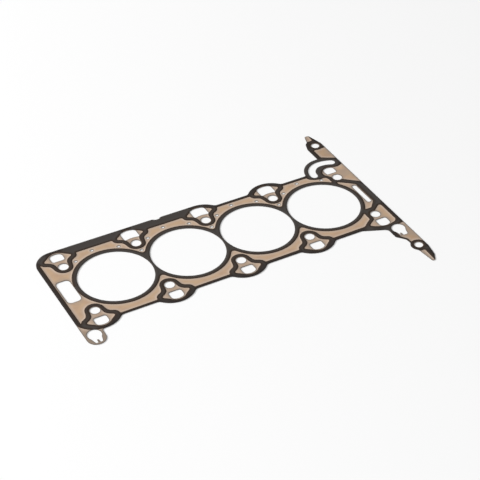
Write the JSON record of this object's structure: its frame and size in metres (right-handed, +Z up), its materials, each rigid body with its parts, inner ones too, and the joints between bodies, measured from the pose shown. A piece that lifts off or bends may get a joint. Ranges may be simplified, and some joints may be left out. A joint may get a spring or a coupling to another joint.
{
  "type": "cylinder head gasket",
  "caption": "Flat steel cylinder head gasket with round bores, bolt holes, oil and water openings, a printed black rubber seal and two arms for the timing case.",
  "frame": {"origin": "on the underside, in the middle of the bore row and of the head bolt pattern", "axes": "+X along the bore row towards the timing-chain end, +Y towards the side with the water ports, +Z up to the cylinder head"},
  "size_m": [0.3995, 0.2765, 0.0007],
  "materials": {
    "coated_steel": "satin, copper-beige lacquer",
    "seal_rubber": "matt, screen printed"
  },
  "bodies": {
    "root": {"steel_sheet": "coated_steel", "rubber_seal_print": "seal_rubber"}
  },
  "joints": []
}
